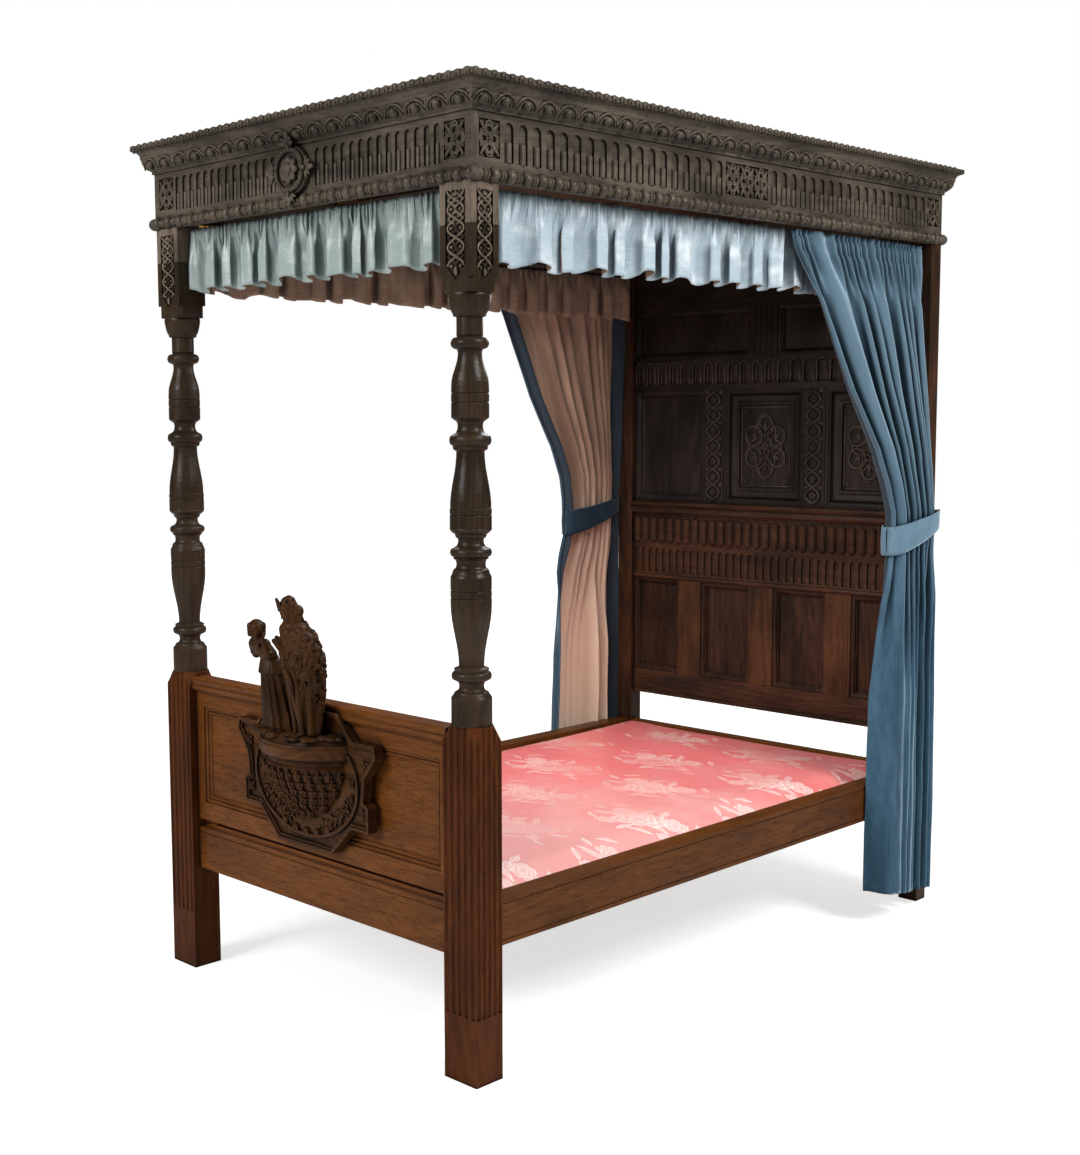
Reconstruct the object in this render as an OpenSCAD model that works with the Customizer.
// Four-poster bed with a carved oak tester, turned foot posts, panelled headboard,
// upholstered base and hangings. Millimetres, +Z up, the head end at +Y.
// The origin is on the floor under the middle of the whole bed.

/* [Overall] */
// Height from the floor to the top of the cornice
bed_h = 2343; // [2250:1:2450]
// Width over the outer faces of the foot legs
bed_w = 1261; // [1180:1:1400]
// Length from the face of the foot legs to the back of the head posts
bed_len = 2085; // [2020:1:2200]

/* [Foot legs and posts] */
// Width of a foot leg across the bed
leg_w = 109; // [100:1:125]
// Depth of a foot leg along the bed
leg_d = 89; // [80:1:105]
// Height of the foot legs
leg_h = 865; // [840:1:890]
// Height of the plain foot below the flutes
leg_plain_h = 165; // [100:1:220]
// Flutes on each outer face of a leg
leg_flutes = 5; // [3:1:6]
// Radius of a leg flute
flute_r = 7; // [5:0.5:8]
// Largest radius of the turned posts
post_r = 49; // [44:0.5:52]
// Width of the carved block on a post across the bed
block_w = 101; // [94:1:106]
// Depth of the carved block along the bed
block_d = 89; // [82:1:95]
// Height of the lower half of the carved block, which belongs to the post
block_low_h = 152; // [130:1:170]
// Height of the upper half of the carved block, which belongs to the tester
block_top_h = 93; // [70:1:110]
// Diameter of the dowels that join leg, post and block
dowel_d = 30; // [24:1:34]
// Length of a dowel in each piece
dowel_h = 60; // [40:1:70]
// Running clearance round the dowels
dowel_gap = 0.4; // [0.2:0.1:1]

/* [Head posts] */
// Width of a head post across the bed
head_post_w = 63; // [55:1:70]
// Depth of a head post along the bed
head_post_d = 56; // [50:1:64]

/* [Rails and base] */
// Height of the top of the side rails above the floor
rail_top = 443; // [420:1:470]
// Height of the side rails
rail_h = 113; // [95:1:125]
// Thickness of the side rails
rail_t = 57; // [50:1:60]
// Height of the foot rail
foot_rail_h = 121; // [105:1:135]
// Drop of the foot rail's top below the side rails' top
foot_rail_drop = 27; // [20:1:40]
// Thickness of the foot rail
foot_rail_t = 40; // [32:1:48]
// Thickness of the head rail
head_rail_t = 25; // [20:1:32]
// Width and height of a ledger
ledger_s = 25; // [20:1:30]
// Number of slats
slat_n = 11; // [8:1:14]
// Width of a slat
slat_w = 90; // [60:1:110]
// Thickness of a slat
slat_t = 15; // [12:1:20]
// Thickness of the upholstered base at its edge
base_edge_h = 55; // [45:1:65]
// Rise of the base's crown above its edge
base_crown = 17; // [8:1:30]
// Clearance round the base
base_gap = 4.5; // [3:0.5:8]
// Length of a corner iron's leaf on the rail
iron_l = 70; // [55:1:80]
// Length of a corner iron's leaf on the leg
iron_b = 46; // [38:1:48]
// Thickness of a corner iron
iron_t = 4; // [3:0.5:5]
// Height of a corner iron
iron_h = 72; // [60:1:76]
// Radius of a screw head
screw_r = 5; // [4:0.5:6]

/* [Footboard] */
// Height of the footboard's top edge
footboard_top = 855; // [835:1:880]
// Gap between the foot rail and the footboard
footboard_gap = 25; // [15:1:35]
// How far the footboard lies behind the face of the legs
footboard_in = 25; // [18:1:30]
// Thickness of the footboard frame
footboard_t = 32; // [28:1:36]
// Height of the footboard's moulded top rail
top_rail_h = 86; // [75:1:100]
// Height of the footboard's bottom rail
bottom_rail_h = 52; // [45:1:65]
// Width of the footboard's stiles
stile_w = 34; // [28:1:45]
// Thickness of the footboard panel
foot_panel_t = 12; // [9:1:15]
// Width of the moulding round the footboard panel
foot_mould_w = 22; // [16:1:28]
// Thickness of the cartouche
plaque_t = 31; // [26:1:38]
// Width of the cartouche's moulded rim
plaque_rim = 14; // [10:1:18]
// Depth of the cartouche's sunk field
plaque_sink = 11; // [7:1:15]
// Reach of the figure bracket in front of the cartouche
bracket_reach = 95; // [80:1:110]
// Half width of the figure bracket
bracket_half = 170; // [150:1:185]
// Height of the bracket's shelf above the cartouche's lower edge
shelf_rise = 289; // [275:1:300]
// Height of the smaller figure
small_figure_h = 290; // [260:1:310]
// Height of the taller figure
tall_figure_h = 372; // [340:1:395]

/* [Headboard] */
// Height of the headboard's lower edge above the side rails' top
headboard_gap = 105; // [80:1:130]
// Thickness of the headboard frame
headboard_t = 34; // [28:1:38]
// Height of the headboard's bottom rail
hb_bottom_h = 90; // [75:1:105]
// Height of the lower panels
low_panel_h = 345; // [320:1:370]
// Height of the fluted rail above the lower panels
fluted_h = 126; // [115:1:138]
// Height of the gadrooned rail
gadroon_h = 108; // [96:1:118]
// Height of the moulded shelf
shelf_h = 55; // [45:1:65]
// How far the shelf stands in front of the headboard frame
shelf_out = 22; // [14:1:28]
// Height of the arcaded rail
arcade_h = 112; // [100:1:124]
// Height of the top panels
top_panel_h = 170; // [150:1:190]
// Height of the headboard's top rail
head_rail_h = 154; // [135:1:170]
// Width of a muntin between the lower panels
low_muntin_w = 100; // [85:1:115]
// Width of a muntin between the middle panels
mid_muntin_w = 84; // [72:1:96]
// Width of the opening of the middle centre panel
mid_centre_w = 328; // [300:1:350]
// Width of the top muntin
top_muntin_w = 105; // [85:1:120]
// Thickness of the headboard panels
panel_t = 10; // [8:1:12]
// Width of the moulding round a lower panel
low_mould_w = 20; // [14:1:26]
// Width of the stepped moulding round a middle panel
mid_mould_w = 58; // [45:1:66]

/* [Tester] */
// Height of the cornice
cornice_h = 77; // [65:1:90]
// Overhang of the cornice past the frieze
cornice_out = 47.5; // [38:0.5:55]
// Height of the frieze boards
frieze_h = 153; // [140:1:165]
// Thickness of the frieze boards
frieze_t = 18; // [15:1:20]
// Radius of the bead moulding under the frieze
bead_r = 14; // [11:0.5:16]
// Depth of the carving sunk into the frieze
carve_d = 6; // [4:0.5:8]
// Arches on each side of the boss on the foot frieze
foot_arches = 14; // [10:1:15]
// Arches between the foot corner and the middle panel of a side frieze
side_arches = 18; // [14:1:20]
// Width of the carved corner panels of the frieze
corner_panel_w = 68; // [58:1:76]
// Width of the carved middle panel of a side frieze
mid_tracery_w = 192; // [150:1:220]
// Half height of the oval boss
boss_half = 61; // [50:1:61]
// Thickness of the tester frame
tester_t = 23; // [18:1:26]
// Width of the tester frame's members
tester_w = 80; // [65:1:95]
// Thickness of the tester panels
tester_panel_t = 9; // [7:1:12]

/* [Hangings] */
// Radius of a curtain rod
rod_r = 7; // [5:0.5:7.5]
// Radius of a valance rod
valance_rod_r = 4; // [3:0.5:4.5]
// Distance of a rod's foot end hook from the face of the legs
rod_hook_in = 640; // [500:5:760]
// Rings on each curtain
ring_n = 12; // [8:1:14]
// Clearance between a ring and its rod
ring_gap = 1.2; // [0.8:0.1:2]
// Width of a curtain's heading along the rod
curtain_w = 727; // [650:1:760]
// Height of a curtain's hem above the floor at the head side
hem_h = 62; // [50:1:90]
// Folds across a curtain
curtain_folds = 10; // [8:1:11]
// Height of the tie-back's middle
tie_h = 1215; // [1150:1:1280]
// Height of the tie-back's band
band_h = 80; // [60:1:95]
// Drop of a valance below its rod
valance_drop = 152; // [130:1:175]
// Height of the heading frill above the valance rod
frill_h = 14; // [10:1:18]
// Ruffles on a side valance
side_ruffles = 17; // [12:1:18]
// Ruffles on the foot valance
foot_ruffles = 11; // [8:1:12]

/* [Hidden] */

// Overall places
half_w = bed_w / 2;
footboard_front = plaque_t - footboard_in;
front_reach = max(footboard_front + bracket_reach, cornice_out);
foot_y = front_reach - (front_reach + bed_len + cornice_out) / 2;
back_y = foot_y + bed_len;
head_face = back_y - head_post_d;
frieze_z = bed_h - cornice_h - frieze_h;
cornice_z = bed_h - cornice_h;
split_z = frieze_z - block_top_h;
block_z = split_z - block_low_h;
eps = 0.01;
seat_gap = 0.3;

// Colours
oak_dark = [0.19, 0.16, 0.14];
oak_brown = [0.27, 0.17, 0.11];
oak_warm = [0.45, 0.24, 0.12];
brass = [0.72, 0.56, 0.24];
iron = [0.2, 0.2, 0.21];
satin = [0.88, 0.42, 0.46];
silk = [0.66, 0.78, 0.86];
velvet = [0.24, 0.4, 0.54];

// Post axis
post_x = half_w - leg_w / 2;
post_y = foot_y + leg_d / 2;
turned_h = block_z - leg_h;
turned_nominal = 1003;
dowel_r = dowel_d / 2;
shoulder_in = 21;
shoulder_h = 40;
tester_stub_h = frieze_h - tester_t;

// Mirrors a right-hand piece for the left side
module sided(s) {
    if (s < 0) mirror([1, 0, 0]) children();
    else children();
}

// Puts a shape drawn in the XY plane, rising in Z, on a wall that faces the foot
module on_wall(x, y, z) translate([x, y, z]) rotate([90, 0, 0]) children();

// Puts a shape drawn in the XY plane, rising in Z, on a wall that faces right
module on_side(x, y, z) translate([x, y, z]) rotate([90, 0, 90]) children();

// Points of a circular arc
function arc(c, r, a0, a1, n = 6) = [for (i = [0:n]) let (a = a0 + (a1 - a0) * i / n) c + r * [cos(a), sin(a)]];

function mix(a, b, t) = a + (b - a) * t;
function ease(t) = (1 - cos(180 * t)) / 2;

// Four mitred strips round an opening; each profile point is [inward, rise]
module mitred_frame(w, h, profile) {
    for (k = [0:3]) {
        len = (k % 2 == 0) ? w : h;
        deep = (k % 2 == 0) ? h : w;
        m = min(len, deep) / 2;
        rotate([0, 0, 90 * k]) intersection() {
            translate([-len / 2, -deep / 2, 0]) rotate([90, 0, 90]) linear_extrude(len) polygon(profile);
            translate([0, -deep / 2, -50]) linear_extrude(200)
                polygon([[-len / 2, 0], [len / 2, 0], [len / 2 - m, m], [m - len / 2, m]]);
        }
    }
}

// Same, running outwards round a solid core; each profile point is [outward, rise]
module mitred_rim(w, h, profile) {
    for (k = [0:3]) {
        len = (k % 2 == 0) ? w : h;
        deep = (k % 2 == 0) ? h : w;
        m = min(len, deep) / 3;
        a = len / 2 + rim_reach;
        rotate([0, 0, 90 * k]) intersection() {
            translate([-a, -deep / 2, 0]) rotate([90, 0, 90]) mirror([1, 0, 0])
                linear_extrude(2 * a) polygon(profile);
            translate([0, -deep / 2, -50]) linear_extrude(400)
                polygon([[m - len / 2, m], [len / 2 - m, m], [a, -rim_reach], [-a, -rim_reach]]);
        }
    }
}
rim_reach = 120;

// A row of round-topped arches, to cut
module arch_row(n, pitch, w, h, deep) {
    for (i = [0:n - 1]) translate([(i + 0.5) * pitch - w / 2, 0, -deep]) {
        cube([w, h - w / 2, deep + 1]);
        translate([w / 2, h - w / 2, 0]) cylinder(r = w / 2, h = deep + 1, $fn = 24);
    }
}

// The rods that stop the lower half of each arch
module arch_stops(n, pitch, w, h, deep) {
    for (i = [0:n - 1]) translate([(i + 0.5) * pitch, eps, -deep]) rotate([-90, 0, 0]) intersection() {
        cylinder(r = w * 0.34, h = h * 0.5, $fn = 20);
        translate([-w, -w, 0]) cube([2 * w, w + eps, h]);
    }
}

// A smooth solid through rings of equal counts, closed by a point at each end
function ring_faces(n, m) = [for (i = [0:m - 2], j = [0:n - 1]) each [
    [i * n + j, (i + 1) * n + j, (i + 1) * n + (j + 1) % n],
    [i * n + j, (i + 1) * n + (j + 1) % n, i * n + (j + 1) % n]]];
function centre(ring) = [for (k = [0:2]) [for (p = ring) p[k]] * [for (p = ring) 1] / len(ring)];
module loft(rings) {
    n = len(rings[0]);
    m = len(rings);
    points = concat([for (r = rings) each r], [centre(rings[0]), centre(rings[m - 1])]);
    low = [for (j = [0:n - 1]) [n * m, j, (j + 1) % n]];
    high = [for (j = [0:n - 1]) [n * m + 1, (m - 1) * n + (j + 1) % n, (m - 1) * n + j]];
    polyhedron(points, concat(ring_faces(n, m), low, high));
}

// A folded sheet: each ring runs out along its face and back along its back, and
// strips close the top and the hem
module folded(rings) {
    n = len(rings[0]);
    m = len(rings);
    k = n / 2;
    strip = function (o) [for (j = [0:k - 2]) each [
        [o + j, o + j + 1, o + n - 2 - j], [o + j, o + n - 2 - j, o + n - 1 - j]]];
    flip = function (f) [for (t = f) [t[0], t[2], t[1]]];
    polyhedron([for (r = rings) each r], concat(ring_faces(n, m), strip(0), flip(strip((m - 1) * n))));
}

// Foot legs
module foot_leg(s) {
    color(oak_brown) sided(s) difference() {
        translate([half_w - leg_w, foot_y, 0]) cube([leg_w, leg_d, leg_h]);
        for (i = [0:leg_flutes - 1]) {
            share = (i + 0.5) / leg_flutes;
            translate([half_w - leg_w * share, foot_y - flute_r * 0.45, leg_plain_h])
                cylinder(r = flute_r, h = leg_h, $fn = 24);
            translate([half_w + flute_r * 0.45, foot_y + leg_d * share, leg_plain_h])
                cylinder(r = flute_r, h = leg_h, $fn = 24);
        }
        leg_shoulders();
        translate([post_x, post_y, leg_h - dowel_h - 1])
            cylinder(r = dowel_r + dowel_gap, h = dowel_h + 2);
    }
}

// The sloped cuts across the four top corners of a leg
module leg_shoulders() {
    for (a = [-1, 1], b = [-1, 1])
        translate([post_x + a * leg_w / 2, post_y + b * leg_d / 2, leg_h]) rotate([0, 0, atan2(b, a)])
            translate([-shoulder_in, 0, 0]) rotate([0, -atan2(shoulder_in, shoulder_h), 0])
                translate([0, -leg_w / 2, -leg_w]) cube([leg_w, leg_w, 2 * leg_w]);
}

// Turned posts. Each station is [height, radius], [height, radius, "ease"] for a
// swell from the last one, or [height, radius, "round", peak] for a bead or a cove.
post_stations = [
    [0, 0.99], [65, 0.99], [75, 0.85], [78, 0.82], [106, 0.82, "round", 0.6],
    [127, 0.82, "round", 0.97], [134, 0.85], [139, 0.61], [286, 0.99, "ease"], [299, 0.99],
    [301, 0.95], [303, 0.99], [316, 0.99], [318, 0.95], [320, 0.99], [347, 0.99],
    [363, 0.88, "ease"], [367, 0.84], [393, 0.86, "round", 0.7], [396, 0.82],
    [418, 0.82, "round", 1], [442, 0.72, "round", 0.62], [450, 0.78], [463, 1, "round", 0.95],
    [493, 1], [495, 0.96], [497, 1], [508, 1], [510, 0.96], [512, 0.98], [641, 0.67, "ease"],
    [646, 0.82], [654, 0.84], [680, 0.84, "round", 1], [714, 0.78, "round", 0.6], [719, 0.9],
    [752, 0.9], [754, 0.86], [756, 0.9], [773, 0.9], [775, 0.86], [777, 0.9], [793, 0.89],
    [867, 0.57, "ease"], [874, 0.6], [904, 0.6, "round", 0.91], [907, 0.63], [948, 0.63],
    [950, 0.78], [955, 0.79], [1003, 0.99, "round", 0.97]];
function post_station(a, b) = len(b) == 2 ? [[b[1], b[0]]]
    : b[2] == "ease" ? [for (i = [1:8]) [mix(a[1], b[1], ease(i / 8)), mix(a[0], b[0], i / 8)]]
    : [for (i = [1:8]) let (t = i / 8, r = mix(a[1], b[1], t))
        [r + (b[3] - mix(a[1], b[1], 0.5)) * sqrt(max(0, 1 - pow(2 * t - 1, 2))), mix(a[0], b[0], t)]];
function post_outline() = [for (i = [1:len(post_stations) - 1])
    each post_station(post_stations[i - 1], post_stations[i])];

module foot_post(s) {
    color(oak_dark) sided(s) {
        translate([post_x, post_y, leg_h]) rotate_extrude($fn = 64)
            polygon(concat([[0, 0], [post_stations[0][1] * post_r, 0]], [for (p = post_outline())
                [p[0] * post_r, p[1] * turned_h / turned_nominal]], [[0, turned_h]]));
        translate([post_x, post_y, leg_h - dowel_h]) cylinder(r = dowel_r, h = dowel_h + eps);
        difference() {
            carved_block(block_z, split_z);
            translate([post_x, post_y, split_z - dowel_h - 1])
                cylinder(r = dowel_r + dowel_gap, h = dowel_h + 2);
        }
    }
}

module tester_block(s) {
    color(oak_dark) sided(s) {
        carved_block(split_z, frieze_z);
        translate([post_x, post_y, split_z - dowel_h]) cylinder(r = dowel_r, h = dowel_h + eps);
        stub = half_w - frieze_t - (post_x - block_w / 2 + 10);
        translate([half_w - frieze_t - stub, foot_y + frieze_t, frieze_z - eps])
            cube([stub, leg_d - frieze_t - 9, tester_stub_h + eps]);
    }
}

// The slice of the carved corner block between two heights
panel_margin = 18;
panel_foot = 26;
panel_head = 18;
module carved_block(z0, z1) {
    x0 = post_x - block_w / 2;
    y0 = post_y - block_d / 2;
    pw = block_w - 2 * panel_margin;
    pd = block_d - 2 * panel_margin;
    h = frieze_z - block_z - panel_foot - panel_head;
    intersection() {
        translate([x0, y0, z0]) cube([block_w, block_d, z1 - z0]);
        difference() {
            translate([x0, y0, block_z]) cube([block_w, block_d, frieze_z - block_z]);
            on_wall(post_x, y0, block_z + panel_foot) sunk_tracery(pw, h);
            on_side(x0 + block_w, post_y, block_z + panel_foot) sunk_tracery(pd, h);
            for (p = [[0, 0], [block_w, 0], [0, block_d], [block_w, block_d]])
                translate([x0 + p[0], y0 + p[1], block_z - 1]) rotate([0, 0, 45])
                    translate([-9, -9, 0]) cube([18, 18, 34]);
        }
    }
}

// Sunk tracery: a field with a pointed foot, less its lozenges
module sunk_tracery(w, h) {
    n = 4;
    pitch = (h - w / 2) / n;
    difference() {
        translate([0, 0, -carve_d]) union() {
            translate([-w / 2, w / 2, 0]) cube([w, h - w / 2, carve_d + 1]);
            linear_extrude(carve_d + 1) polygon([[-w / 2, w / 2], [0, 0], [w / 2, w / 2]]);
        }
        for (i = [0:n - 1]) translate([0, w / 2 + (i + 0.5) * pitch, -carve_d - 1])
            lozenge(w * 0.43, pitch * 0.47);
    }
}
module lozenge(a, b) {
    linear_extrude(carve_d) difference() {
        polygon([[a, 0], [0, b], [-a, 0], [0, -b]]);
        polygon([[a - 7, 0], [0, b - 7], [7 - a, 0], [0, 7 - b]]);
    }
    cylinder(r = 6, h = carve_d, $fn = 16);
}

// Head posts
module head_post(s) {
    color(oak_brown) sided(s) {
        difference() {
            translate([half_w - head_post_w, head_face, 0]) cube([head_post_w, head_post_d, frieze_z]);
            for (g = [14, 24]) translate([half_w - g, head_face, 120])
                cylinder(r = 2, h = frieze_z - 240, $fn = 16);
        }
        translate([half_w - head_post_w, head_face, frieze_z - eps])
            cube([head_post_w - frieze_t, head_post_d - frieze_t, tester_stub_h + eps]);
    }
}

// Rails and base
rail_z = rail_top - rail_h;
rail_in = half_w - rail_t;
foot_rail_top = rail_top - foot_rail_drop;
ledger_z = rail_z + 15;
slat_z = ledger_z + ledger_s;
base_z = slat_z + slat_t;
base_x = rail_in - iron_t - base_gap;
base_y0 = foot_y + leg_d + iron_t + base_gap;
base_y1 = head_face - iron_t - base_gap;
iron_z = rail_z + (rail_h - iron_h) / 2;

module side_rail(s) {
    len = head_face - foot_y - leg_d;
    color(oak_warm) sided(s) difference() {
        translate([rail_in, foot_y + leg_d, rail_z]) cube([rail_t, len, rail_h]);
        for (z = [rail_z + 12, rail_top - 12]) translate([half_w, foot_y + leg_d - 1, z])
            rotate([-90, 0, 0]) cylinder(r = 2, h = len + 2, $fn = 16);
    }
}

module foot_rail() {
    w = bed_w - 2 * leg_w;
    color(oak_warm) difference() {
        translate([-w / 2, foot_y + footboard_in, foot_rail_top - foot_rail_h])
            cube([w, foot_rail_t, foot_rail_h]);
        translate([-w / 2 - 1, foot_y + footboard_in, foot_rail_top - 14])
            rotate([0, 90, 0]) cylinder(r = 2, h = w + 2, $fn = 16);
    }
}

module head_rail() {
    color(oak_brown) translate([head_post_w - half_w, head_face, rail_z])
        cube([bed_w - 2 * head_post_w, head_rail_t, rail_h]);
}

ledger_y0 = foot_y + leg_d + iron_l + 8;
ledger_y1 = head_face - iron_l - 8;
slat_gap = 1;
module ledgers() {
    color(oak_warm) for (s = [-1, 1]) sided(s)
        translate([rail_in - ledger_s, ledger_y0, ledger_z])
            cube([ledger_s, ledger_y1 - ledger_y0, ledger_s]);
}

module slats() {
    pitch = (ledger_y1 - ledger_y0 - slat_w) / (slat_n - 1);
    color("burlywood") for (i = [0:slat_n - 1])
        translate([slat_gap - rail_in, ledger_y0 + i * pitch, slat_z])
            cube([2 * (rail_in - slat_gap), slat_w, slat_t]);
}

shank_r = screw_r * 0.6;
screw_gap = 0.15;

// One angle iron in the corner of a side rail; the leaf on the rail runs in +Y
module corner_iron() {
    difference() {
        union() {
            translate([-iron_t, 0, 0]) cube([iron_t, iron_l, iron_h]);
            translate([-iron_b, 0, 0]) cube([iron_b, iron_t, iron_h]);
        }
        for (z = [iron_h * 0.25, iron_h * 0.75]) {
            translate([-iron_t - 1, iron_l * 0.65, z]) rotate([0, 90, 0])
                cylinder(r = shank_r + screw_gap, h = iron_t + 2);
            translate([-iron_b * 0.6, -1, z]) rotate([-90, 0, 0])
                cylinder(r = shank_r + screw_gap, h = iron_t + 2);
        }
    }
}
module at_corners() {
    for (s = [-1, 1]) sided(s) {
        translate([rail_in, foot_y + leg_d, iron_z]) children();
        translate([rail_in, head_face, iron_z]) mirror([0, 1, 0]) children();
    }
}
module corner_irons() {
    color(iron) at_corners() corner_iron();
}
module iron_screws() {
    color(iron) at_corners() for (z = [iron_h * 0.25, iron_h * 0.75]) {
        translate([-iron_t - 2, iron_l * 0.65, z]) rotate([0, 90, 0]) cylinder(r = screw_r, h = 2);
        translate([-iron_t - 2, iron_l * 0.65, z]) rotate([0, 90, 0]) cylinder(r = shank_r, h = iron_t + 2);
        translate([-iron_b * 0.6, iron_t, z]) rotate([-90, 0, 0]) cylinder(r = screw_r, h = 2);
        translate([-iron_b * 0.6, 0, z]) rotate([-90, 0, 0]) cylinder(r = shank_r, h = iron_t + 2);
    }
}

// The base: a rounded box, drawn in a little along its sides, with a low crown
function base_quarter(a, b, r, pull) = concat(
    [for (i = [0:4]) [a - r + r * cos(i * 22.5), b - r + r * sin(i * 22.5)]],
    [for (t = [-0.5, 0, 0.5]) [-t * (a - r), b - pull * (1 - t * t)]]);
function base_ring(a, b, r, pull, z) = [for (k = [0:3])
    for (p = k % 2 == 0 ? base_quarter(a, b, r, pull) : base_quarter(b, a, r, pull))
        [p[0] * cos(90 * k) - p[1] * sin(90 * k), p[0] * sin(90 * k) + p[1] * cos(90 * k), z]];
module upholstered_base() {
    a = base_x;
    b = (base_y1 - base_y0) / 2;
    e = base_edge_h;
    color(satin) translate([0, (base_y0 + base_y1) / 2, base_z + seat_gap]) loft([
        base_ring(a - 6, b - 6, 20, 3, 0), base_ring(a, b, 24, 3, 8), base_ring(a, b, 24, 3, e - 14),
        base_ring(a - 4, b - 4, 24, 3, e - 4), base_ring(a - 16, b - 16, 26, 4, e),
        base_ring(a * 0.82, b * 0.88, 60, 4, e + base_crown * 0.6),
        base_ring(a * 0.5, b * 0.62, 90, 4, e + base_crown * 0.92),
        base_ring(a * 0.16, b * 0.25, 60, 2, e + base_crown)]);
}

// Footboard
board_y = foot_y + footboard_in;
board_w = bed_w - 2 * leg_w;
board_z = foot_rail_top + footboard_gap;
top_rail_z = footboard_top - top_rail_h;
mould_drop = 44;
panel_lift = 13;

module footboard_top_rail() {
    t = footboard_t;
    profile = concat([[0, -top_rail_h], [0, -mould_drop], [-5, -mould_drop], [-5, 4 - mould_drop]],
        arc([-5, 16 - mould_drop], 12, -90, -180, 5), [[-17, 20 - mould_drop], [-13, 24 - mould_drop]],
        arc([-8, -9], 8, 180, 90, 5), [[t + 3, -1], [t + 5, -4], [t + 5, -18], [t, -24], [t, -top_rail_h]]);
    color(oak_warm) translate([-board_w / 2, board_y, footboard_top])
        rotate([90, 0, 90]) linear_extrude(board_w) polygon(profile);
}

module footboard_bottom_rail() {
    color(oak_warm) translate([-board_w / 2, board_y, board_z]) cube([board_w, footboard_t, bottom_rail_h]);
}

panel_z0 = board_z + bottom_rail_h;
panel_h = top_rail_z - panel_z0;
panel_w = board_w - 2 * stile_w;
module footboard_stiles() {
    color(oak_warm) for (s = [-1, 1]) sided(s)
        translate([panel_w / 2, board_y, panel_z0]) cube([stile_w, footboard_t, panel_h]);
}

module footboard_panel() {
    color(oak_warm) translate([-panel_w / 2, board_y + panel_lift, panel_z0])
        cube([panel_w, foot_panel_t, panel_h]);
}

module footboard_moulding() {
    m = foot_mould_w;
    color(oak_warm) on_wall(0, board_y + panel_lift, panel_z0 + panel_h / 2)
        mitred_frame(panel_w, panel_h, concat([[0, 0], [0, 9], [m * 0.2, 9]],
            arc([m * 0.2, 3], 6, 90, 0, 5), [[m * 0.6, 3], [m * 0.6, 5], [m * 0.8, 5], [m, 1], [m, 0]]));
}

// Cartouche: a stepped star with a sunk field and an oval ring
plaque_z = panel_z0 - 26;
plaque_y = board_y - plaque_t;
plaque_half = [[111, 0], [190, 79], [256, 79], [256, 146], [236, 156], [244, 220], [285, 273], [281, 306],
    [197, 306], [134, 369]];
plaque_pts = concat(plaque_half, [for (i = [1:len(plaque_half)]) let (p = plaque_half[len(plaque_half) - i])
    [-p[0], p[1]]]);
function left_of(v) = [-v[1], v[0]] / norm(v);
function inset(pts, g) = [for (i = [0:len(pts) - 1]) let (n = len(pts), p = pts[i],
    a = left_of(p - pts[(i + n - 1) % n]), b = left_of(pts[(i + 1) % n] - p)) p + g * (a + b) / (1 + a * b)];
function oval(a, b, n = 48) = [for (i = [0:n - 1]) [a * cos(360 * i / n), b * sin(360 * i / n)]];
shelf_z = plaque_z + shelf_rise;
oval_z = plaque_z + 182;

module cartouche() {
    field = plaque_t - plaque_sink;
    color(oak_dark) difference() {
        on_wall(0, board_y, plaque_z) {
            difference() {
                linear_extrude(plaque_t) polygon(plaque_pts);
                translate([0, 0, field]) linear_extrude(plaque_t) polygon(inset(plaque_pts, plaque_rim));
                translate([0, 0, field + plaque_sink * 0.6]) linear_extrude(plaque_t)
                    polygon(inset(plaque_pts, plaque_rim * 0.5));
            }
            translate([0, oval_z - plaque_z, field - eps]) intersection() {
                linear_extrude(plaque_sink * 0.7) difference() {
                    polygon(oval(214, 156));
                    polygon(oval(206, 148));
                }
                translate([-300, -300, 0]) cube([600, 300 + shelf_z - oval_z - 22, 50]);
            }
        }
        translate([-300, board_y - 18, footboard_top - mould_drop - 0.5]) cube([600, 60, 60]);
    }
}

// Bracket: the front of a turned bowl under a moulded shelf, cut off at the field
bracket_back = plaque_y + plaque_sink;
bracket_reach_in = bracket_reach + plaque_sink;
bracket_r = (bracket_half * bracket_half + bracket_reach_in * bracket_reach_in) / (2 * bracket_reach_in);
ground_h = 20;
module bracket() {
    r = bracket_r;
    cut = bracket_r - bracket_reach_in;
    profile = concat([[0, -220], [cut - 4, -220]],
        [for (i = [1:8]) [mix(cut, r - 16, sin(90 * i / 8)), mix(-216, -62, i / 8)]],
        [[r - 22, -56], [r - 22, -44], [r - 12, -40]], arc([r - 12, -28], 12, -90, 0, 5),
        [[r, -10], [r - 3, -8], [r - 3, 0], [0, 0]]);
    color(oak_dark) difference() {
        translate([0, bracket_back + cut, shelf_z]) {
            rotate_extrude($fn = 96) polygon(profile);
            translate([0, 0, -eps]) cylinder(r1 = r - 8, r2 = r - 16, h = ground_h + eps, $fn = 96);
        }
        translate([-2 * r, bracket_back, shelf_z - 400]) cube([4 * r, 3 * r, 600]);
    }
}

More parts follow.
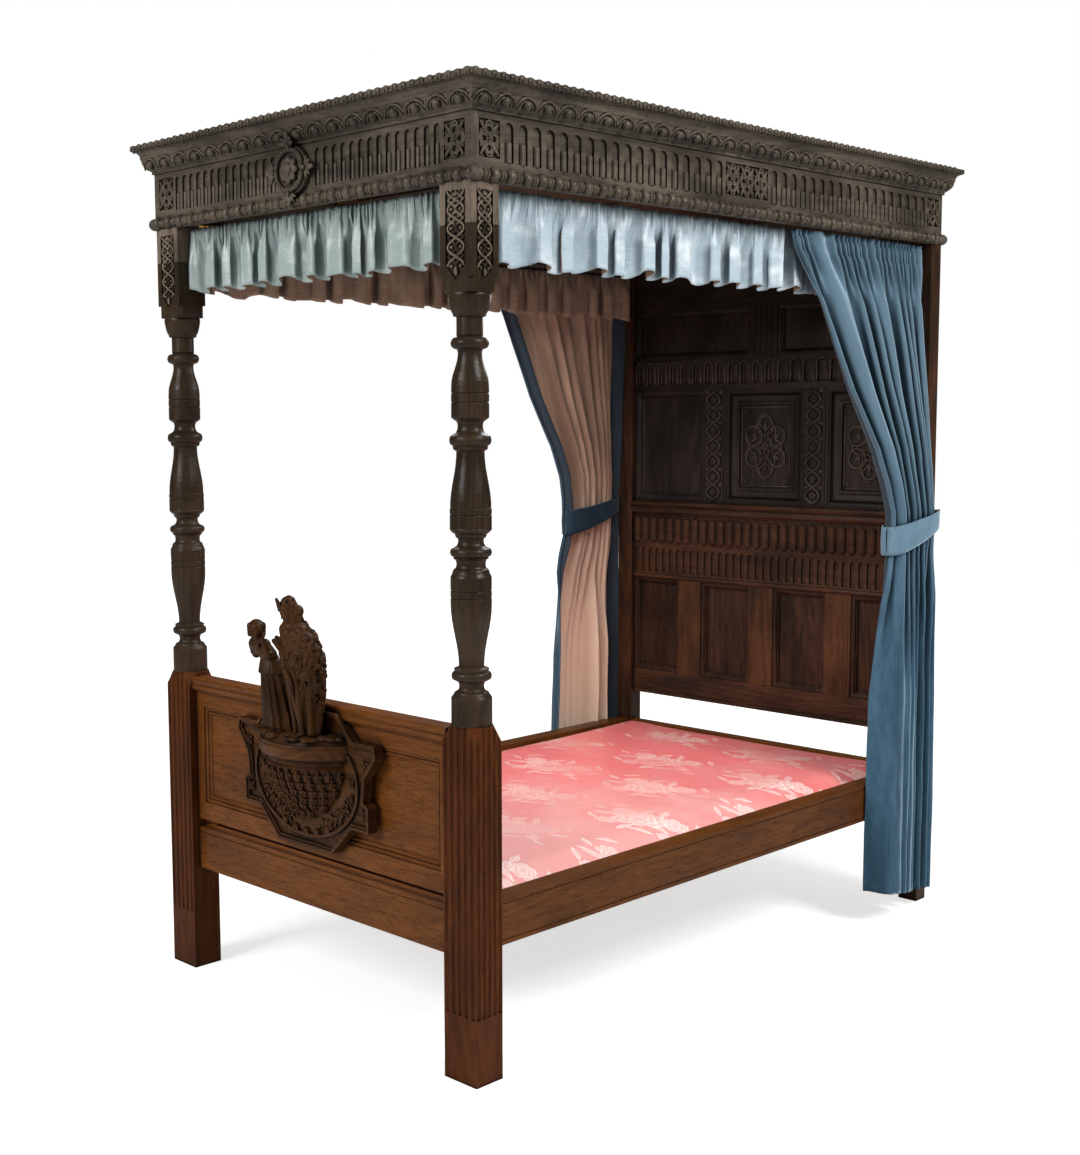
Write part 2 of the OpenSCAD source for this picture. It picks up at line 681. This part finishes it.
// Carved figures, each a loft of oval rings: [share of height, x, half width, half depth]
figure_y = plaque_y - 33;
figure_z = shelf_z + ground_h;
gowned_rings = [[0, -50, 62, 34], [0.1, -54, 58, 34], [0.25, -62, 50, 34], [0.4, -70, 44, 32],
    [0.52, -78, 37, 27], [0.6, -83, 26, 20], [0.63, -86, 26, 20], [0.7, -104, 37, 23], [0.76, -126, 38, 22],
    [0.8, -132, 26, 18], [0.825, -136, 12, 12], [0.85, -138, 17, 18], [0.9, -139, 25, 26],
    [0.95, -140, 24, 25], [0.985, -141, 14, 15], [1, -141, 5, 6]];
crowned_rings = [[0, 70, 30, 26], [0.12, 71, 34, 30], [0.25, 70, 42, 34], [0.37, 70, 52, 38], [0.5, 56, 63, 40],
    [0.61, 46, 64, 40], [0.7, 31, 56, 36], [0.77, 16, 36, 28], [0.805, 8, 17, 17], [0.825, 4, 17, 18],
    [0.86, -4, 26, 27], [0.89, -10, 25, 26], [0.905, -14, 21, 21], [0.92, -18, 22, 22], [0.985, -26, 25, 25],
    [1, -26, 16, 16]];
// Part of a ring's distance from its foot ring leans towards the foot end instead
lean_share = 0.3;
module carved_figure(rings, h) {
    n = 16;
    foot = rings[0][1];
    loft([for (s = rings) let (lean = (s[1] - foot) * lean_share) [for (i = [0:n - 1])
        [s[1] - lean + s[2] * cos(360 * i / n), lean + s[3] * sin(360 * i / n), s[0] * h]]]);
}
module limb(a, b, r1, r2) {
    hull() {
        translate(a) sphere(r = r1, $fn = 12);
        translate(b) sphere(r = r2, $fn = 12);
    }
}
hands_z = small_figure_h * 0.84;
module figure_gowned() {
    color(oak_dark) translate([0, figure_y, figure_z]) {
        carved_figure(gowned_rings, small_figure_h);
        limb([-93, -31, small_figure_h * 0.74], [-67, -38, hands_z - 4], 11, 7);
    }
}
module figure_crowned() {
    color(oak_dark) translate([0, figure_y, figure_z]) {
        carved_figure(crowned_rings, tall_figure_h);
        limb([23, -26, tall_figure_h * 0.68], [-20, -36, hands_z - 10], 15, 10);
        limb([-20, -36, hands_z - 10], [-50, -34, hands_z], 10, 7);
    }
}

// Headboard, from the bottom up
hb_in = 15;
hb_y = head_face + hb_in;
hb_w = bed_w - 2 * head_post_w;
z_bottom = rail_top + headboard_gap;
z_low = z_bottom + hb_bottom_h;
z_fluted = z_low + low_panel_h;
z_gadroon = z_fluted + fluted_h;
z_shelf = z_gadroon + gadroon_h;
z_mid = z_shelf + shelf_h;
z_head = frieze_z - head_rail_h;
z_top = z_head - top_panel_h;
z_arcade = z_top - arcade_h;
mid_panel_h = z_arcade - z_mid;
low_open_w = (hb_w - 3 * low_muntin_w) / 4;
mid_side_w = (hb_w - mid_centre_w - 2 * mid_muntin_w) / 2;
top_open_w = (hb_w - top_muntin_w) / 2;
panel_in = 20;

module board(w, h, x, z, t = headboard_t) translate([x - w / 2, hb_y, z]) cube([w, t, h]);

module headboard_bottom_rail() {
    color(oak_brown) difference() {
        board(hb_w, hb_bottom_h, 0, z_bottom);
        translate([-hb_w / 2 - 1, hb_y, z_bottom + 14]) rotate([0, 90, 0])
            cylinder(r = 2.5, h = hb_w + 2, $fn = 16);
    }
}

module lower_muntins() {
    color(oak_brown) for (i = [-1:1])
        board(low_muntin_w, low_panel_h, i * (low_open_w + low_muntin_w), z_low);
}

// A panel with its own mitred moulding
module moulded_panel(w, h, x, z, profile) {
    translate([x - w / 2, hb_y + panel_in, z]) cube([w, panel_t, h]);
    on_wall(x, hb_y + panel_in + eps, z + h / 2) mitred_frame(w, h, profile);
}
function ovolo_mould(m, rise) = concat([[0, 0], [0, rise], [m * 0.35, rise]],
    arc([m * 0.35, rise - m * 0.4], m * 0.4, 90, 0, 4), [[m * 0.9, rise - m * 0.45], [m, 1], [m, 0]]);
function stepped_mould(m, rise) = concat([[0, 0], [0, rise], [m * 0.18, rise], [m * 0.18, rise * 0.8]],
    arc([m * 0.18, rise * 0.8 - m * 0.16], m * 0.16, 90, 0, 4),
    [[m * 0.46, rise * 0.62], [m * 0.46, rise * 0.4], [m * 0.78, rise * 0.22], [m * 0.82, rise * 0.42],
        [m, rise * 0.42], [m, 0]]);

module lower_panels() {
    color(oak_brown) for (i = [0:3])
        moulded_panel(low_open_w, low_panel_h, (i - 1.5) * (low_open_w + low_muntin_w), z_low,
            ovolo_mould(low_mould_w, 16));
}

module fluted_rail() {
    n = 36;
    pitch = hb_w / n;
    color(oak_brown) {
        difference() {
            board(hb_w, fluted_h, 0, z_fluted);
            on_wall(-hb_w / 2, hb_y, z_fluted + 26) arch_row(n, pitch, pitch * 0.6, fluted_h - 40, carve_d);
        }
        translate([-hb_w / 2, hb_y + 1, z_fluted + 10]) rotate([0, 90, 0]) cylinder(r = 8, h = hb_w, $fn = 24);
    }
}

// Nulling: a row of upright lobes
module gadrooned_rail() {
    n = 30;
    pitch = hb_w / n;
    color(oak_brown) {
        board(hb_w, gadroon_h, 0, z_gadroon);
        for (i = [0:n - 1]) translate([(i + 0.5) * pitch - hb_w / 2, hb_y + 4, z_gadroon + 22]) {
            cylinder(r = pitch * 0.42, h = gadroon_h - 32, $fn = 24);
            sphere(r = pitch * 0.42, $fn = 24);
        }
    }
}

module headboard_shelf() {
    t = headboard_t;
    o = shelf_out;
    h = shelf_h;
    profile = concat([[t, 0], [0, 0], [-4, 4], [-4, 8]], arc([-4, 8 + o * 0.5], o * 0.5, -90, -180, 5),
        [[-o * 0.6, h - 22], [-o, h - 20]], arc([2 - o, h - 10], 8, 200, 100, 5), [[0, h], [t, h]]);
    color(oak_brown) translate([-hb_w / 2, hb_y, z_shelf]) rotate([90, 0, 90])
        linear_extrude(hb_w) polygon(profile);
}

// Guilloche: a chain of raised rings up a muntin
module guilloche(h, r) {
    n = floor(h / (r * 1.75));
    for (i = [0:n - 1]) translate([0, (i + 0.5) * h / n, -eps]) difference() {
        cylinder(r = r, h = 4, $fn = 32);
        translate([0, 0, -1]) cylinder(r = r - 5, h = 6, $fn = 32);
        cube([r * 0.5, 3 * r, 12], center = true);
    }
}
module upper_muntins() {
    color(oak_brown) {
        for (s = [-1, 1]) {
            x = s * (mid_centre_w + mid_muntin_w) / 2;
            board(mid_muntin_w, mid_panel_h, x, z_mid);
            on_wall(x, hb_y, z_mid + 12) guilloche(mid_panel_h - 24, mid_muntin_w * 0.36);
        }
        difference() {
            board(top_muntin_w, top_panel_h, 0, z_top);
            for (i = [-1.5:1.5]) translate([i * top_muntin_w / 4.6, hb_y - 2, z_top - 1])
                cylinder(r = 7, h = top_panel_h + 2, $fn = 20);
        }
    }
}

// Strapwork knot: interlaced rings round a lozenge
module strapwork(w, h) {
    r = w * 0.17;
    for (a = [0:60:300]) translate([w * 0.25 * sin(a), h * 0.25 * cos(a), 0]) difference() {
        cylinder(r = r, h = 3.5, $fn = 28);
        translate([0, 0, -1]) cylinder(r = r - 5, h = 6, $fn = 28);
    }
    cylinder(r = r * 0.55, h = 5, $fn = 24);
}
module middle_panels() {
    m = mid_mould_w;
    xs = (mid_centre_w + mid_side_w) / 2 + mid_muntin_w;
    color(oak_brown) {
        moulded_panel(mid_side_w, mid_panel_h, -xs, z_mid, ovolo_mould(m * 0.6, 16));
        moulded_panel(mid_centre_w, mid_panel_h, 0, z_mid, stepped_mould(m, 18));
        moulded_panel(mid_side_w, mid_panel_h, xs, z_mid, stepped_mould(m, 18));
        for (p = [[0, mid_centre_w], [xs, mid_side_w]])
            on_wall(p[0], hb_y + panel_in + eps, z_mid + mid_panel_h / 2)
                strapwork(p[1] - 2 * m, mid_panel_h - 2 * m);
    }
}

module arcaded_rail() {
    n = 22;
    pitch = hb_w / n;
    color(oak_brown) difference() {
        board(hb_w, arcade_h, 0, z_arcade);
        on_wall(-hb_w / 2, hb_y, z_arcade + 18) arch_row(n, pitch, pitch * 0.62, arcade_h - 36, carve_d);
    }
}

module top_panels() {
    color(oak_brown) for (s = [-1, 1])
        moulded_panel(top_open_w, top_panel_h, s * (top_muntin_w + top_open_w) / 2, z_top,
            ovolo_mould(18, 16));
}

module headboard_top_rail() {
    color(oak_brown) board(hb_w, head_rail_h, 0, z_head);
}

// Tester
arch_z = frieze_z + 46;
arch_h = frieze_h - 62;
corner_h = arch_h * 0.94;
corner_z = arch_z + arch_h / 2 + 3;
boss_w = boss_half * 1.05;
boss_z = (frieze_z + 2 * bead_r + 1 + cornice_z) / 2;
margin = 22;

// Quatrefoil carving left standing in a sunk square
module quatrefoil(w, h) {
    r = min(w, h) * 0.2;
    difference() {
        translate([-w / 2, -h / 2, -carve_d]) cube([w, h, carve_d + 1]);
        for (p = [[1, 0], [-1, 0], [0, 1], [0, -1]])
            translate([p[0] * w * 0.24, p[1] * h * 0.24, -carve_d - 1]) difference() {
                cylinder(r = r, h = carve_d, $fn = 24);
                translate([0, 0, -1]) cylinder(r = r * 0.5, h = carve_d + 2, $fn = 20);
            }
    }
}

module frieze_foot() {
    start = boss_w + 9;
    run = half_w - margin - corner_panel_w - 6 - start;
    pitch = run / foot_arches;
    w = pitch * 0.66;
    color(oak_dark) {
        difference() {
            translate([-half_w, foot_y, frieze_z]) cube([bed_w, frieze_t, frieze_h]);
            for (s = [-1, 1]) sided(s) {
                on_wall(half_w - margin - corner_panel_w / 2, foot_y, corner_z)
                    quatrefoil(corner_panel_w, corner_h);
                on_wall(start, foot_y, arch_z) arch_row(foot_arches, pitch, w, arch_h, carve_d);
            }
        }
        for (s = [-1, 1]) sided(s)
            on_wall(start, foot_y, arch_z) arch_stops(foot_arches, pitch, w, arch_h, carve_d);
    }
}

module frieze_side(s) {
    y0 = foot_y + frieze_t;
    y1 = back_y - frieze_t;
    mid = (foot_y + back_y) / 2;
    first = foot_y + margin + corner_panel_w + 6;
    run = mid - mid_tracery_w / 2 - 6 - first;
    pitch = run / side_arches;
    w = pitch * 0.64;
    third = mid_tracery_w / 3;
    color(oak_dark) sided(s) {
        difference() {
            translate([half_w - frieze_t, y0, frieze_z]) cube([frieze_t, y1 - y0, frieze_h]);
            for (y = [foot_y + margin + corner_panel_w / 2, back_y - margin - corner_panel_w / 2])
                on_side(half_w, y, corner_z) quatrefoil(corner_panel_w, corner_h);
            for (k = [-1:1])
                on_side(half_w, mid + k * third, corner_z) quatrefoil(third + 2 * eps, corner_h);
            for (y = [first, mid + mid_tracery_w / 2 + 6])
                on_side(half_w, y, arch_z) arch_row(side_arches, pitch, w, arch_h, carve_d);
        }
        for (y = [first, mid + mid_tracery_w / 2 + 6])
            on_side(half_w, y, arch_z) arch_stops(side_arches, pitch, w, arch_h, carve_d);
    }
}

module frieze_head() {
    color(oak_dark) translate([-half_w, back_y - frieze_t, frieze_z]) cube([bed_w, frieze_t, frieze_h]);
}

module cornice() {
    h = cornice_h;
    o = cornice_out;
    ovolo_r = h * 0.42;
    ovolo_top = 7 + ovolo_r;
    step = o * 0.44 + 7;
    profile = concat([[-30, 0], [5, 0], [5, 7]],
        arc([step - 2 - ovolo_r, ovolo_top], ovolo_r, -50, 0, 5),
        [[step, ovolo_top + 2], [step, ovolo_top + 5]],
        [for (i = [1:6]) let (a = 15 * i) [mix(step, o - 4, 1 - cos(a)), mix(ovolo_top + 5, h - 15, sin(a))]],
        [[o - 4, h - 13], [o, h - 13], [o, h], [-30, h]]);
    color(oak_dark) translate([0, (foot_y + back_y) / 2, cornice_z]) mitred_rim(bed_w, bed_len, profile);
}

module bead_moulding() {
    r = bead_r;
    color(oak_dark) translate([0, (foot_y + back_y) / 2, frieze_z])
        mitred_rim(bed_w, bed_len, arc([0, r + 1], r, -90, 90, 10));
}

module frieze_boss() {
    a = boss_w;
    b = boss_half;
    color(oak_dark) on_wall(0, foot_y, boss_z) {
        linear_extrude(14) polygon(oval(a, b, 32));
        translate([0, 0, 14 - eps]) linear_extrude(8) difference() {
            polygon(oval(a * 0.9, b * 0.9, 32));
            polygon(oval(a * 0.74, b * 0.74, 32));
        }
        translate([0, 0, 4]) intersection() {
            sphere(r = b * 0.46, $fn = 32);
            translate([-b, -b, 10 - eps]) cube([2 * b, 2 * b, b]);
        }
    }
}

// Tester frame: a lattice of flat members with six openings
tester_x = half_w - frieze_t;
tester_y0 = foot_y + frieze_t;
tester_len = bed_len - 2 * frieze_t;
open_w = (2 * tester_x - 3 * tester_w) / 2;
open_l = (tester_len - 4 * tester_w) / 3;
module each_opening() {
    for (i = [-1, 1], j = [0:2])
        translate([i * (open_w + tester_w) / 2, tester_y0 + (j + 1) * tester_w + (j + 0.5) * open_l, 0])
            children();
}
module tester_frame() {
    color(oak_brown) difference() {
        translate([-tester_x, tester_y0, cornice_z - tester_t]) cube([2 * tester_x, tester_len, tester_t]);
        each_opening() translate([-open_w / 2, -open_l / 2, cornice_z - tester_t - 1])
            cube([open_w, open_l, tester_t + 2]);
    }
}
module tester_panels() {
    color(oak_brown) each_opening()
        translate([-open_w / 2, -open_l / 2, cornice_z - tester_t + 6]) cube([open_w, open_l, tester_panel_t]);
}

// Rods
rod_x = half_w - frieze_t - 14.5;
rod_z = frieze_z + 21;
rod_y0 = foot_y + leg_d - 9;
valance_x = half_w - head_post_w + 5.5;
valance_z = frieze_z - 23;
valance_y = foot_y + 52;
block_in = post_x - block_w / 2;

module curtain_rod(s) {
    color(brass) sided(s) translate([rod_x, rod_y0, rod_z]) rotate([-90, 0, 0])
        cylinder(r = rod_r, h = head_face - rod_y0, $fn = 32);
}

module valance_rods() {
    y = post_y + block_d / 2;
    color(brass) {
        for (s = [-1, 1]) sided(s) translate([valance_x, y, valance_z]) rotate([-90, 0, 0])
            cylinder(r = valance_rod_r, h = head_face - y, $fn = 24);
        translate([-block_in, valance_y, valance_z]) rotate([0, 90, 0])
            cylinder(r = valance_rod_r, h = 2 * block_in, $fn = 24);
    }
}

// Hanging hooks that carry a curtain rod from below, on its inner side
module rod_brackets() {
    top = cornice_z - tester_t;
    color(brass) for (s = [-1, 1], y = [foot_y + rod_hook_in, head_face - curtain_w - 34]) sided(s)
        translate([rod_x, y, rod_z]) difference() {
            union() {
                translate([-rod_r - 3, -6, -rod_r - 3]) cube([4, 12, top - rod_z + rod_r + 3]);
                translate([-rod_r - 3, -6, -rod_r - 3]) cube([rod_r + 4, 12, 4]);
                translate([-rod_r - 18, -6, top - rod_z - 3]) cube([19, 12, 3]);
            }
            translate([0, -7, 0]) rotate([-90, 0, 0]) cylinder(r = rod_r, h = 14, $fn = 32);
        }
}

// Curtains. Each station is [height, foot end and head end from the head post's
// face, distance out from the leg's face, half thickness, depth of the folds]
curtain_top = frieze_z - 9;
curtain_stations = [
    [hem_h, -335, 12, 42, 30, 9], [400, -335, 12, 42, 30, 9], [700, -325, 10, 40, 30, 9],
    [tie_h - 200, -305, 6, 34, 28, 8], [tie_h - 66, -270, 4, 25, 26, 4], [tie_h + 66, -270, 4, 25, 26, 4],
    [tie_h + 150, -292, 0, 18, 24, 7], [tie_h + 262, -348, -2, 12, 20, 9], [tie_h + 441, -475, -4, 2, 13, 11],
    [curtain_top - 192, -620, -6, -12, 9, 11], [curtain_top - 44, 12 - 8 - curtain_w, -8, -22, 5, 9],
    [curtain_top - 12, -8 - curtain_w, -8, -24, 4, 8], [curtain_top, -8 - curtain_w, -8, -24, 4, 8]];
hem_rise = 48;
function end_taper(p) = max(0.3, sqrt(1 - pow(2 * p - 1, 4)));
function drape_ring(s, folds, lift = 0) = let (k = 4 * folds)
    [for (side = [1, -1], i = [0:k]) let (j = side > 0 ? i : k - i, p = j / k)
        [half_w + s[3] + s[5] * cos(90 * j) * end_taper(p) + side * s[4] * end_taper(p),
            head_face + mix(s[1], s[2], p), s[0] + lift * (1 - p)]];
module curtain(s) {
    color(velvet) sided(s) folded([for (i = [0:len(curtain_stations) - 1])
        drape_ring(curtain_stations[i], curtain_folds, i == 0 ? hem_rise : 0)]);
}

module curtain_rings(s) {
    r0 = rod_r + ring_gap;
    r1 = r0 + 3.5;
    drop = ring_gap - seat_gap;
    color(brass) sided(s) for (i = [0:ring_n - 1])
        translate([rod_x, head_face - 8 - curtain_w + (i + 0.5) * curtain_w / ring_n, rod_z - drop]) {
            rotate([90, 0, 0]) linear_extrude(3, center = true) polygon(concat(
                arc([0, 0], r1, -55, 112, 14), arc([0, 0], r0, 112, -55, 14)));
            translate([r0 * cos(55) + 0.6, -1.5, curtain_top + seat_gap + drop - rod_z])
                cube([3, 3, rod_z - drop - curtain_top - seat_gap - r0 * sin(55) - 1]);
        }
}

// Tie-back: a band round the drawn-in curtain, rising towards its hook
tie_slope = 0.14;
tie_gap = 1.2;
tie_t = 3;
function tie_ring(grow, z) = let (k = 2 * curtain_folds)
    [for (side = [1, -1], i = [0:k]) let (p = (side > 0 ? i : k - i) / k, y = mix(-270 - grow, 4 + grow, p))
        [half_w + 25 + side * (31 + grow) * end_taper(p), head_face + y, z + tie_slope * y + 20]];
module tieback(s) {
    z0 = tie_h - band_h / 2;
    z1 = tie_h + band_h / 2;
    out = tie_gap + tie_t;
    rings = [tie_ring(out, z0), tie_ring(out, z1), tie_ring(tie_gap, z1), tie_ring(tie_gap, z0)];
    n = len(rings[0]);
    color(velvet) sided(s) {
        polyhedron([for (r = rings) each r], [for (i = [0:3], j = [0:n - 1])
            let (a = i * n, b = (i + 1) % 4 * n, k = (j + 1) % n)
                each [[a + j, b + j, b + k], [a + j, b + k, a + k]]]);
        translate([half_w + 24, head_face + 4 + tie_gap + 1, hook_z - 14])
            cube([3, hook_y - hook_r - seat_gap - head_face - 5 - tie_gap, 20]);
    }
}

hook_y = head_face + 31;
hook_z = tie_h + 50;
hook_r = 2.5;
module tieback_hooks() {
    color(brass) for (s = [-1, 1]) sided(s) translate([half_w, hook_y, hook_z]) {
        rotate([0, 90, 0]) cylinder(r = 9, h = 3);
        rotate([0, 90, 0]) cylinder(r = hook_r, h = 30);
        translate([30, 0, 0]) cylinder(r = hook_r, h = 12);
        translate([30, 0, 0]) sphere(r = hook_r);
        translate([30, 0, 13]) sphere(r = hook_r + 1.5);
    }
}

// Valances: [height from the rod, distance out, half thickness, depth of the ruffles]
valance_stations = [[-valance_drop, 11, 1.8, 6], [-5, 7.6, 1.6, 1.4], [6, 7.6, 1.6, 1.4], [frill_h, 8, 1.6, 2]];
function ruffle_ring(s, ruffles, len) = let (k = 4 * ruffles)
    [for (side = [1, -1], i = [0:k]) let (j = side > 0 ? i : k - i)
        [len * j / k, s[1] + s[3] * sin(90 * j) + side * s[2], s[0] + (s[0] < -20 ? 3 * cos(90 * j) : 0)]];
module valance(ruffles, len) {
    folded([for (s = valance_stations) [for (p = ruffle_ring(s, ruffles, len)) [p[0], -p[1], p[2]]]]);
}
module valance_side(s) {
    len = head_face - foot_y - leg_d - 4;
    color(silk) sided(s) translate([valance_x, foot_y + leg_d + 2, valance_z]) rotate([0, 0, 90])
        valance(side_ruffles, len);
}
module valance_foot() {
    color(silk) translate([2 - block_in, valance_y, valance_z]) valance(foot_ruffles, 2 * block_in - 4);
}

foot_leg(-1);  // leg_foot_left
foot_leg(1);  // leg_foot_right
foot_post(-1);  // post_foot_left
foot_post(1);  // post_foot_right
tester_block(-1);  // tester_block_left
tester_block(1);  // tester_block_right
head_post(-1);  // head_post_left
head_post(1);  // head_post_right
side_rail(-1);  // side_rail_left
side_rail(1);  // side_rail_right
foot_rail();
head_rail();
ledgers();
slats();
corner_irons();
iron_screws();
upholstered_base();
footboard_top_rail();
footboard_bottom_rail();
footboard_stiles();
footboard_panel();
footboard_moulding();
cartouche();
bracket();
figure_gowned();
figure_crowned();
headboard_bottom_rail();
lower_muntins();
lower_panels();
fluted_rail();
gadrooned_rail();
headboard_shelf();
upper_muntins();
middle_panels();
arcaded_rail();
top_panels();
headboard_top_rail();
frieze_foot();
frieze_side(-1);  // frieze_left
frieze_side(1);  // frieze_right
frieze_head();
cornice();
bead_moulding();
frieze_boss();
tester_frame();
tester_panels();
curtain_rod(-1);  // curtain_rod_left
curtain_rod(1);  // curtain_rod_right
valance_rods();
rod_brackets();
valance_foot();
valance_side(-1);  // valance_left
valance_side(1);  // valance_right
curtain(-1);  // curtain_left
curtain(1);  // curtain_right
curtain_rings(-1);  // curtain_rings_left
curtain_rings(1);  // curtain_rings_right
tieback(-1);  // tieback_left
tieback(1);  // tieback_right
tieback_hooks();
